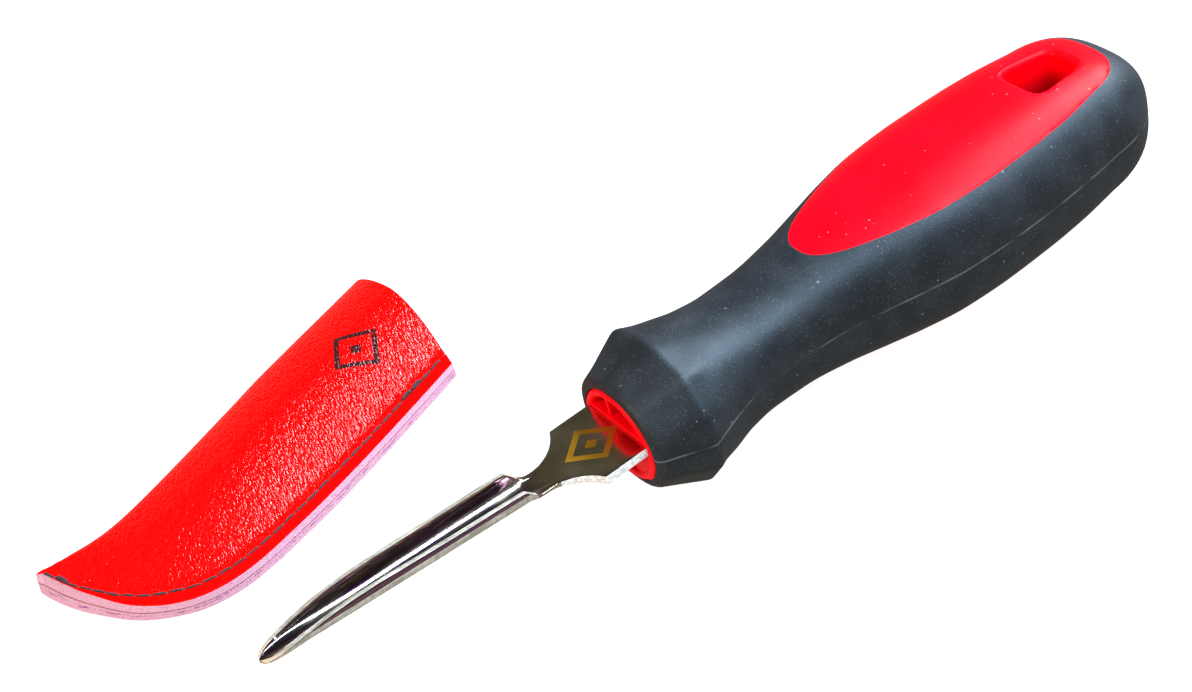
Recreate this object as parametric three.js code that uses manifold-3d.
// Hoof knife: a steel gouge blade held in a two-component moulded handle, with its folded and
// stitched leather sheath lying beside it. Millimetres, +Z up.
//
// The pieces are modelled about the knife's own line first: X runs along it from the handle's
// front face (x = 0) to its rear end, the blade points to -X, and z = 0 is the plane in which the
// two halves of the handle's mould meet. The finished group is then moved so that its origin is
// the middle of its footprint, on the surface that it lies on.
import * as THREE from "three";
import { ParametricGeometry } from "three/addons/geometries/ParametricGeometry.js";
import { mergeVertices } from "three/addons/utils/BufferGeometryUtils.js";
import Module from "manifold-3d";

const wasm = await Module();
wasm.setup();

// ---------------------------------------------------------------- driving dimensions

const CLEARANCE = 0.3; // between pieces that touch in the real assembly

// Handle: distance behind the front face, half width and half height of the cross-section.
const HANDLE_STATIONS = [
  [0, 10.4, 9.9],
  [2.5, 11.4, 10.7],
  [8.2, 14.2, 13.5],
  [9.6, 14.8, 14.1], // ridge of the front collar
  [11.4, 14.2, 13.5],
  [16, 12.3, 12.0],
  [25, 10.35, 10.4], // waist
  [36, 10.5, 10.9],
  [50, 12.9, 13.1],
  [64, 16.0, 14.5],
  [78, 16.7, 14.8], // palm swell
  [94, 16.0, 14.4],
  [106, 14.4, 13.3],
  [113.5, 12.0, 11.2],
  [118, 7.6, 7.0],
  [120, 0, 0],
];
const HANDLE_LENGTH = 120;
const COLLAR_POWER = 2.4; // of the cross-section: 2 is an ellipse, higher is squarer
const BODY_POWER = 2.8;
const GRIP_THICKNESS = 3.2;

const PANEL_HEIGHT = 11.8; // the hard panels show where the handle stands above this
const PANEL_START = 30; // and behind this, so not on the collar
const PANEL_FOOT = 5; // the panels' blocks reach in to this height

const CUP_RADIUS = 9.05;
const CUP_PROUD = 0.35; // how far the cup's lip stands out of the front face
const CUP_MOUTH_RADIUS = 7.4;
const CUP_FLOOR_RADIUS = 6.6;
const CUP_DEPTH = 8;
const CUP_LIP_ROUND = 0.6;
const CUP_WALL = 0.8; // of the bars and ribs inside it
const CUP_BAR_START = -0.1; // the bars beside the blade come almost to the cup's lip
const CUP_RIB_START = 0.9;
const CUP_RIB_OFFSETS = [2, -4.8]; // above the blade; mirrored below it
const CUP_BLOCK_START = 0.1;
const CUP_BLOCK_EDGE = -2.6;

const HOLE_START = 95.8;
const HOLE_END = 106.6;
const HOLE_HALF_START = 4.9;
const HOLE_HALF_END = 3.7;
const HOLE_CORNER = 1.4;

// Blade
const STOCK_TOP = 2.2;
const STOCK_THICKNESS = 1.9;
const PLATE_HALF = 8.1;
const PLATE_FRONT = -8.5;
const TANG_SHOULDER = 7.7;
const TANG_HALF = 4.5;
const TANG_END = 52;
const NECK_HALF = 2.9;
const NECK_X = -15.4;
const NECK_START = -13.6; // from here to the tip the underside is round
const CHANNEL_BACK = -17.4; // foot of the side walls
const CHANNEL_START = -21.2; // where the side walls reach their full height
const BLADE_TIP = -71.1;
const CHANNEL_WALL = 1.1;
const CHANNEL_RISE = 0.075; // the channel climbs this much for each millimetre towards its tip
const CHANNEL_FLOOR = 1.05; // height of its underside at CHANNEL_START
const CHANNEL_DEPTH = 4.35; // from the underside to the rim
const CHANNEL_RADII = [
  [NECK_START, 2.8],
  [CHANNEL_BACK, 2.9],
  [-19.2, 3.2],
  [CHANNEL_START, 3.65],
  [-30, 3.55],
  [-45, 3.35],
  [-58, 3.1],
  [-72, 2.8],
];

// Sheath, in its own plan: x towards the mouth, y from the sewn edge to the fold, z above the table
const SHEATH_PLACE = [0, 70];
const SHEATH_TURN = THREE.MathUtils.degToRad(17);
const LEATHER = 1.5;
const SEWN_EDGE = [
  [-83.3, 22.8],
  [-84.4, 21.3],
  [-84.7, 18],
  [-84.6, 13.5],
  [-83.8, 8],
  [-81.3, -1],
  [-76.7, -8.1],
  [-71.5, -12.4],
  [-64, -15.1],
  [-53, -16.3],
  [-40, -16.9],
  [-24, -16.9],
  [-8.8, -16.6],
];
const FOLD_EDGE = [
  [-83.3, 22.8],
  [-81.8, 23.1],
  [-79.6, 22.5],
  [-76.5, 21.2],
  [-72, 19.3],
  [-67, 18.1],
  [-59, 17.6],
  [-37, 17.5],
  [-25, 17.9],
  [1.5, 17.7],
];
const MOUTH_BULGE = 2.4;
const POUCH_SWELL = 4.2; // of the front leather over the middle of the pouch, at the mouth
const FOLD_THICKNESS = 5; // at the mouth
const FOLD_TIP_THICKNESS = 3.3;
const SEAM_BAND = 5.2; // glued and sewn band along the sewn edge
const STITCH_INSET = 3.4;
const STITCH_FIRST = 0.045; // shares of the sheath's length where the stitching ends
const STITCH_LAST = 0.985;
const THREAD_RADIUS = 0.3;
const STITCH_SINK = 0.25; // depth of the thread's line below the leather's face

// ---------------------------------------------------------------- helpers

// A closed geometry as a solid for cutting and joining.
function solid(geometry) {
  const bare = geometry.clone();
  bare.deleteAttribute("normal");
  bare.deleteAttribute("uv");
  const merged = mergeVertices(bare, 1e-4);
  const index = merged.index.array;
  const triangles = [];
  for (let i = 0; i < index.length; i += 3) {
    const [a, b, c] = [index[i], index[i + 1], index[i + 2]];
    if (a !== b && b !== c && c !== a) triangles.push(a, b, c);
  }
  const made = new wasm.Manifold(
    new wasm.Mesh({
      numProp: 3,
      vertProperties: merged.attributes.position.array,
      triVerts: new Uint32Array(triangles),
    }),
  );
  if (made.volume() < 0) throw new Error("a geometry is inside out");
  return made;
}

// A solid as a named mesh with its own material.
function piece(name, body, color, roughness, metalness) {
  const cut = body.getMesh();
  const geometry = new THREE.BufferGeometry();
  geometry.setAttribute("position", new THREE.BufferAttribute(cut.vertProperties, 3));
  geometry.setIndex(new THREE.BufferAttribute(cut.triVerts, 1));
  geometry.computeVertexNormals();
  const material = new THREE.MeshStandardMaterial({ color, roughness, metalness });
  const mesh = new THREE.Mesh(geometry, material);
  mesh.name = name;
  return mesh;
}

// A closed loft: ring(t, s) is a point of the loop at station s, with t from 0 to 1 round it.
// Its first and last rows are drawn in to centre(s), which closes the two ends.
function loft(ring, centre, around, along) {
  const geometry = new ParametricGeometry(
    (t, v, target) => {
      const row = v * (along + 2);
      const s = THREE.MathUtils.clamp((row - 1) / along, 0, 1);
      if (row < 0.5 || row > along + 1.5) target.copy(centre(s));
      else target.copy(ring(t % 1, s));
    },
    around,
    along + 2,
  );
  return solid(geometry);
}

// An outline in the XY plane, extruded between two heights.
function slab(outline, bottom, top) {
  const geometry = new THREE.ExtrudeGeometry(outline, {
    depth: top - bottom,
    bevelEnabled: false,
    curveSegments: 10,
  });
  geometry.translate(0, 0, bottom);
  return solid(geometry);
}

// An outline in the XZ plane, extruded across the knife to half on each side.
function sideSlab(outline, half) {
  const geometry = new THREE.ExtrudeGeometry(outline, {
    depth: 2 * half,
    bevelEnabled: false,
    curveSegments: 10,
  });
  geometry.rotateX(Math.PI / 2);
  geometry.translate(0, half, 0);
  return solid(geometry);
}

// A profile of [radius, x] points turned about the knife's line.
function turned(profile, segments) {
  const points = profile.map(([radius, x]) => new THREE.Vector2(radius, x));
  const geometry = new THREE.LatheGeometry(points, segments);
  geometry.rotateZ(-Math.PI / 2);
  return solid(geometry);
}

function block(x0, x1, y0, y1, z0, z1) {
  const geometry = new THREE.BoxGeometry(x1 - x0, y1 - y0, z1 - z0);
  geometry.translate((x0 + x1) / 2, (y0 + y1) / 2, (z0 + z1) / 2);
  return solid(geometry);
}

// Linear interpolation in a list of [x, value] rows, whichever way x runs.
function along(rows, x) {
  const sorted = [...rows].sort((a, b) => a[0] - b[0]);
  if (x <= sorted[0][0]) return sorted[0][1];
  for (let i = 1; i < sorted.length; i++) {
    const [x0, v0] = sorted[i - 1];
    const [x1, v1] = sorted[i];
    if (x <= x1) return v0 + ((v1 - v0) * (x - x0)) / (x1 - x0);
  }
  return sorted.at(-1)[1];
}

function smooth(t) {
  const c = THREE.MathUtils.clamp(t, 0, 1);
  return c * c * (3 - 2 * c);
}

// ---------------------------------------------------------------- handle

const handleLine = new THREE.CatmullRomCurve3(
  HANDLE_STATIONS.map(([x, w, h]) => new THREE.Vector3(x, w, h)),
  false,
  "centripetal",
);

// The cross-section is a superellipse, rounder at the collar than at the palm.
function sectionPower(x) {
  return COLLAR_POWER + (BODY_POWER - COLLAR_POWER) * smooth((x - 8) / 20);
}

// Share of the half width at a share of the half height.
function sectionShare(share) {
  return Math.pow(1 - Math.pow(Math.min(share, 1), BODY_POWER), 1 / BODY_POWER);
}

// The handle's form, drawn in by an inset on every side.
function handleForm(inset, around, stations) {
  const shorten = (HANDLE_LENGTH - inset) / HANDLE_LENGTH;
  const size = (s) => {
    const p = handleLine.getPoint(s);
    const rear = s === 1;
    const w = rear ? 0 : Math.max(p.y - inset, 0.05);
    const h = rear ? 0 : Math.max(p.z - inset, 0.05);
    const start = inset * (1 - p.x / HANDLE_LENGTH);
    return [p.x * shorten + start * 0.6, w, h];
  };
  const ring = (t, s) => {
    const [x, w, h] = size(s);
    const c = Math.cos(2 * Math.PI * t);
    const n = Math.sin(2 * Math.PI * t);
    const e = 2 / sectionPower(x);
    return new THREE.Vector3(
      x,
      w * Math.sign(c) * Math.pow(Math.abs(c), e),
      h * Math.sign(n) * Math.pow(Math.abs(n), e),
    );
  };
  const centre = (s) => new THREE.Vector3(size(s)[0], 0, 0);
  return loft(ring, centre, around, stations);
}

// Outline of a hard panel: where the handle's surface crosses PANEL_HEIGHT, grown by a margin.
function panelOutline(margin) {
  const side = [];
  const steps = 150;
  for (let i = 0; i <= steps; i++) {
    const p = handleLine.getPoint(i / steps);
    if (p.x < PANEL_START || p.z <= PANEL_HEIGHT) continue;
    side.push(new THREE.Vector2(p.x, p.y * sectionShare(PANEL_HEIGHT / p.z)));
  }
  const front = new THREE.Vector2(2 * side[0].x - side[1].x, 0);
  const back = new THREE.Vector2(2 * side.at(-1).x - side.at(-2).x, 0);
  const kept = side.filter((_, i) => i % 4 === 0 || i === side.length - 1);
  const middle = (front.x + back.x) / 2;
  const grow = 1 + (2 * margin) / (back.x - front.x);
  const upper = kept.map((p) => new THREE.Vector2(middle + (p.x - middle) * grow, p.y + margin));
  const lower = [...upper].reverse().map((p) => new THREE.Vector2(p.x, -p.y));
  const ends = [front, back].map((p) => new THREE.Vector2(middle + (p.x - middle) * grow, 0));
  return new THREE.Shape([ends[0], ...upper, ends[1], ...lower]);
}

// The blocks under both hard panels, above and below the parting plane.
function panelBlocks(margin) {
  const outline = panelOutline(margin);
  const foot = PANEL_FOOT - margin;
  return slab(outline, foot, 20).add(slab(outline, -20, -foot));
}

// Plan of the hanging hole, a trapezium with round corners, narrower to the rear.
function hangingHole() {
  const r = HOLE_CORNER;
  const shape = new THREE.Shape();
  shape.moveTo(HOLE_START, -HOLE_HALF_START + r);
  shape.quadraticCurveTo(HOLE_START, -HOLE_HALF_START, HOLE_START + r, -HOLE_HALF_START + r / 9);
  shape.lineTo(HOLE_END - r, -HOLE_HALF_END - r / 9);
  shape.quadraticCurveTo(HOLE_END, -HOLE_HALF_END, HOLE_END, -HOLE_HALF_END + r);
  shape.lineTo(HOLE_END, HOLE_HALF_END - r);
  shape.quadraticCurveTo(HOLE_END, HOLE_HALF_END, HOLE_END - r, HOLE_HALF_END + r / 9);
  shape.lineTo(HOLE_START + r, HOLE_HALF_START - r / 9);
  shape.quadraticCurveTo(HOLE_START, HOLE_HALF_START, HOLE_START, HOLE_HALF_START - r);
  return slab(shape, -20, 20);
}

// The cup at the front: a barrel with a rounded lip.
function cupBarrel(margin) {
  const r = CUP_RADIUS + margin;
  const front = -CUP_PROUD - margin;
  const round = CUP_LIP_ROUND;
  const profile = [
    [0, front],
    [r - round, front],
    [r - round * 0.3, front + round * 0.3],
    [r, front + round],
    [r, 9 + margin],
    [0, 9 + margin],
  ];
  return turned(profile, 40);
}

// Its hollow, which tapers to the floor.
function cupHollow() {
  const profile = [
    [0, -CUP_PROUD - 1],
    [CUP_MOUTH_RADIUS + 0.5, -CUP_PROUD - 1],
    [CUP_MOUTH_RADIUS + 0.5, -CUP_PROUD],
    [CUP_MOUTH_RADIUS, -CUP_PROUD + 0.5],
    [CUP_FLOOR_RADIUS, CUP_DEPTH],
    [0, CUP_DEPTH],
  ];
  return turned(profile, 36);
}

// A bar along each face of the blade, the ribs that tie it to the cup's wall, and the block that
// fills the cup below the plate's near edge.
function cupRibs() {
  const reach = CUP_MOUTH_RADIUS;
  const below = STOCK_TOP - STOCK_THICKNESS - CLEARANCE;
  const ribs = [block(CUP_BLOCK_START, CUP_DEPTH + 1, -reach, CUP_BLOCK_EDGE, -reach, below)];
  for (const side of [1, -1]) {
    const face = side > 0 ? STOCK_TOP + CLEARANCE : -below;
    const rib = (x0, y0, y1, far) => {
      const heights = [side * face, side * far].sort((a, b) => a - b);
      return block(x0, CUP_DEPTH + 1, y0, y1, ...heights);
    };
    ribs.push(rib(CUP_BAR_START, -reach, reach, face + CUP_WALL));
    for (const offset of CUP_RIB_OFFSETS) {
      const y = side * offset;
      ribs.push(rib(CUP_RIB_START, y - CUP_WALL / 2, y + CUP_WALL / 2, reach));
    }
  }
  return ribs;
}

// The space that the blade's plate and tang need in the handle.
function bladeSlot() {
  const top = STOCK_TOP + CLEARANCE;
  const bottom = STOCK_TOP - STOCK_THICKNESS - CLEARANCE;
  const plate = PLATE_HALF + CLEARANCE;
  const tang = TANG_HALF + CLEARANCE;
  const mouth = block(-2, TANG_SHOULDER + CLEARANCE, -plate, plate, bottom, top);
  return mouth.add(block(0, TANG_END + CLEARANCE, -tang, tang, bottom, top));
}

function handleCore() {
  const form = handleForm(0, 44, 30);
  const panels = form.intersect(panelBlocks(0));
  let core = handleForm(GRIP_THICKNESS, 28, 22).add(panels).add(cupBarrel(0));
  core = core.subtract(cupHollow());
  for (const rib of cupRibs()) core = core.add(rib.intersect(cupBarrel(0)));
  return core.subtract(bladeSlot()).subtract(hangingHole());
}

function grip() {
  const form = handleForm(0, 44, 30);
  const cavity = handleForm(GRIP_THICKNESS - CLEARANCE, 28, 22);
  return form.subtract(cavity).subtract(panelBlocks(CLEARANCE)).subtract(cupBarrel(CLEARANCE));
}

// ---------------------------------------------------------------- blade

// Plate, neck and tang, cut from flat stock.
function bladeStock() {
  const shape = new THREE.Shape();
  shape.moveTo(TANG_END, -TANG_HALF);
  shape.lineTo(TANG_END, TANG_HALF);
  shape.lineTo(TANG_SHOULDER, TANG_HALF);
  shape.lineTo(TANG_SHOULDER, PLATE_HALF);
  shape.lineTo(PLATE_FRONT, PLATE_HALF);
  shape.bezierCurveTo(-10.2, 5.6, -12.4, NECK_HALF, NECK_X, NECK_HALF);
  shape.lineTo(NECK_X, -NECK_HALF);
  shape.bezierCurveTo(-12.4, -NECK_HALF, -10.2, -5.6, PLATE_FRONT, -PLATE_HALF);
  shape.lineTo(TANG_SHOULDER, -PLATE_HALF);
  shape.lineTo(TANG_SHOULDER, -TANG_HALF);
  const underside = STOCK_TOP - STOCK_THICKNESS;
  const side = new THREE.Shape();
  side.moveTo(TANG_END + 1, underside);
  side.lineTo(TANG_END + 1, STOCK_TOP);
  side.lineTo(CHANNEL_BACK, STOCK_TOP);
  side.lineTo(CHANNEL_BACK, underside + 0.9);
  side.lineTo(PLATE_FRONT, underside);
  return slab(shape, underside - 1, STOCK_TOP + 1).intersect(sideSlab(side, PLATE_HALF + 1));
}

// Height of the channel's underside.
function channelFloor(x) {
  const rise = CHANNEL_RISE * Math.max(CHANNEL_START - x, 0);
  const neck = (STOCK_TOP - STOCK_THICKNESS - CHANNEL_FLOOR) * smooth((x - CHANNEL_START) / 6);
  return CHANNEL_FLOOR + rise + neck;
}

// A length of U section, open side up, drawn in by a wall and carried up past its rim.
function channelForm(wall, extra, back, tip) {
  const loop = (t, s) => {
    const x = back + (tip - back) * s;
    const radius = along(CHANNEL_RADII, x) - wall;
    const axis = channelFloor(x) + wall + radius;
    const rim = channelFloor(x) + CHANNEL_DEPTH + extra;
    const round = 0.7; // share of the loop that is the round bottom
    if (t < round) {
      const a = (Math.PI * t) / round;
      return new THREE.Vector3(x, radius * Math.cos(a), axis - radius * Math.sin(a));
    }
    const u = (t - round) / (1 - round);
    const corners = [
      [-radius, axis],
      [-radius, rim],
      [radius, rim],
      [radius, axis],
    ];
    const i = Math.min(Math.floor(u * 3), 2);
    const f = u * 3 - i;
    const y = corners[i][0] + (corners[i + 1][0] - corners[i][0]) * f;
    const z = corners[i][1] + (corners[i + 1][1] - corners[i][1]) * f;
    return new THREE.Vector3(x, y, z);
  };
  const centre = (s) => {
    const x = back + (tip - back) * s;
    return new THREE.Vector3(x, 0, channelFloor(x) + CHANNEL_DEPTH / 2 + extra / 2);
  };
  return loft(loop, centre, 20, 14);
}

// Side view of the channel: full height behind, swept down to the tip like a quill.
function channelSide() {
  const rim = (x) => channelFloor(x) + CHANNEL_DEPTH;
  const shape = new THREE.Shape();
  shape.moveTo(NECK_START, -3);
  shape.lineTo(NECK_START, STOCK_TOP);
  shape.lineTo(CHANNEL_BACK, STOCK_TOP);
  shape.bezierCurveTo(-19.4, STOCK_TOP, -19.8, 4, CHANNEL_START, rim(CHANNEL_START));
  shape.lineTo(-49, rim(-49));
  shape.bezierCurveTo(-56, rim(-56), -63, rim(-56) - 0.9, BLADE_TIP - 1, rim(-56) - 2.65);
  shape.lineTo(BLADE_TIP - 1, -3);
  return sideSlab(shape, 8);
}

// Plan of the blade's rounded tip.
function channelPlan() {
  const shape = new THREE.Shape();
  shape.moveTo(NECK_START + 1, -6);
  shape.lineTo(NECK_START + 1, 6);
  shape.lineTo(-58, 6);
  shape.lineTo(-58, 3.3);
  shape.bezierCurveTo(-66, 2.9, BLADE_TIP, 2.3, BLADE_TIP, 0);
  shape.bezierCurveTo(BLADE_TIP, -2.3, -66, -2.9, -58, -3.3);
  shape.lineTo(-58, -6);
  return slab(shape, -5, 15);
}

function blade() {
  const outside = channelForm(0, 0, NECK_START, BLADE_TIP - 1);
  const inside = channelForm(CHANNEL_WALL, 3, CHANNEL_BACK, BLADE_TIP - 2);
  const channel = outside.intersect(channelSide()).intersect(channelPlan());
  return bladeStock().add(channel).subtract(inside);
}

// ---------------------------------------------------------------- sheath

const sewnLine = new THREE.SplineCurve(SEWN_EDGE.map(([x, y]) => new THREE.Vector2(x, y)));
const foldLine = new THREE.SplineCurve(FOLD_EDGE.map(([x, y]) => new THREE.Vector2(x, y)));
const SHEATH_FIRST = 0.015; // where the loft starts, just behind the point of the tip

// The two edges of the sheath at a share of its length, with the width between them.
function sheathStation(share) {
  const sewn = sewnLine.getPointAt(Math.min(share, 1));
  const fold = foldLine.getPointAt(Math.min(share, 1));
  const beyond = Math.max(share - 1, 0) * 90;
  sewn.x += beyond;
  fold.x += beyond;
  return { sewn, fold, width: sewn.distanceTo(fold) };
}

// Point of the plan at a share of the length and a distance in from the sewn edge.
function sheathPlan(share, inset) {
  const { sewn, fold, width } = sheathStation(share);
  const b = inset / width;
  const point = sewn.clone().lerp(fold, b);
  const late = THREE.MathUtils.clamp((share - 0.72) / 0.28, 0, 1.2);
  point.x += MOUTH_BULGE * late * late * 4 * b * (1 - b);
  return point;
}

// Thickness of the sheath at its fold.
function foldThickness(share) {
  return FOLD_TIP_THICKNESS + (FOLD_THICKNESS - FOLD_TIP_THICKNESS) * smooth(share * 1.6);
}

// Height of the front leather's face: flat along the seam, then swelling over the pouch.
function sheathTop(share, inset) {
  const { width } = sheathStation(share);
  const b = THREE.MathUtils.clamp((inset - SEAM_BAND) / (width - SEAM_BAND), 0, 1);
  const swell = POUCH_SWELL * smooth(share / 0.65) * Math.sin(Math.PI * b);
  return 2 * LEATHER + (foldThickness(share) - 2 * LEATHER) * smooth(b) + swell;
}

// A closed loft between two insets from the edges, with the leather drawn in by a margin.
function sheathForm(sewnInset, foldInset, margin, first, last, stations) {
  const lower = 12;
  const upper = 16;
  const total = lower + upper;
  const ring = (t, s) => {
    const share = first + (last - first) * s;
    const { width } = sheathStation(share);
    const near = Math.min(sewnInset, width * 0.45);
    const far = Math.max(width - foldInset, near + 0.5);
    const i = Math.round(t * total) % total;
    const back = i < lower;
    const f = back ? i / lower : 1 - (i - lower) / (upper - 1);
    const eased = Math.sin((f * Math.PI) / 2);
    const inset = near + (far - near) * eased;
    const round = Math.min(foldThickness(share) / 2 - margin, (far - near) * 0.5);
    const e = THREE.MathUtils.clamp((far - inset) / round, 0, 1);
    const bulge = Math.sqrt(1 - (1 - e) * (1 - e));
    const top = sheathTop(share, inset + foldInset * (inset / width)) - margin;
    const middle = (top + margin) / 2;
    const z = back ? middle + (margin - middle) * bulge : middle + (top - middle) * bulge;
    const p = sheathPlan(share, inset);
    return new THREE.Vector3(p.x, p.y, z);
  };
  const centre = (s) => {
    const share = first + (last - first) * s;
    const { width } = sheathStation(share);
    const p = sheathPlan(share, width / 2);
    return new THREE.Vector3(p.x, p.y, sheathTop(share, width / 2) / 2);
  };
  return loft(ring, centre, total, stations);
}

// The line of the stitching, as a curve at one height.
function stitchLine(z) {
  const points = [];
  const steps = 22;
  for (let i = 0; i <= steps; i++) {
    const share = STITCH_FIRST + (STITCH_LAST - STITCH_FIRST) * (i / steps);
    const p = sheathPlan(share, STITCH_INSET);
    points.push(new THREE.Vector3(p.x, p.y, z));
  }
  return new THREE.CatmullRomCurve3(points);
}

// A round cord along the stitching: the thread itself, or the groove that it lies in.
function stitchCord(z, radius) {
  const section = new THREE.Shape();
  section.absarc(0, 0, radius, 0, 2 * Math.PI);
  const geometry = new THREE.ExtrudeGeometry(section, {
    steps: 44,
    curveSegments: 3,
    extrudePath: stitchLine(z),
  });
  return solid(geometry);
}

const FRONT_STITCH = 2 * LEATHER - STITCH_SINK;
const BACK_STITCH = STITCH_SINK + 0.2;

function sheathLeather() {
  const outside = sheathForm(0, 0, 0, SHEATH_FIRST, 1, 26);
  const pocket = sheathForm(SEAM_BAND + 1.6, LEATHER, LEATHER, 0.16, 1.04, 20);
  const groove = THREAD_RADIUS + CLEARANCE + 0.02;
  return outside
    .subtract(pocket)
    .subtract(stitchCord(FRONT_STITCH, groove))
    .subtract(stitchCord(BACK_STITCH, groove));
}

// ---------------------------------------------------------------- assembly

const knife = new THREE.Group();
knife.add(piece("blade", blade(), 0xc9cacc, 0.18, 1));
knife.add(piece("handle_core", handleCore(), 0xe4041f, 0.35, 0));
knife.add(piece("grip", grip(), 0x24272c, 0.75, 0));

const sheath = new THREE.Group();
sheath.add(piece("sheath_leather", sheathLeather(), 0xe00a14, 0.4, 0));
const frontThread = stitchCord(FRONT_STITCH, THREAD_RADIUS);
const backThread = stitchCord(BACK_STITCH, THREAD_RADIUS);
sheath.add(piece("sheath_needle_thread", frontThread, 0x2a2a34, 0.8, 0));
sheath.add(piece("sheath_bobbin_thread", backThread, 0x2a2a34, 0.8, 0));
const tableHeight = -Math.max(...HANDLE_STATIONS.map(([, , h]) => h));
sheath.rotation.z = SHEATH_TURN;
sheath.position.set(SHEATH_PLACE[0], SHEATH_PLACE[1], tableHeight);

const assembly = new THREE.Group();
assembly.add(knife, sheath);
assembly.updateMatrixWorld(true);

// The origin goes to the middle of the footprint, at the height of the table.
const extent = new THREE.Box3().setFromObject(assembly, true);
const middle = extent.getCenter(new THREE.Vector3());
assembly.position.set(-middle.x, -middle.y, -extent.min.z);

const group = new THREE.Group();
group.name = "hoof_knife";
group.add(assembly);

export default group;
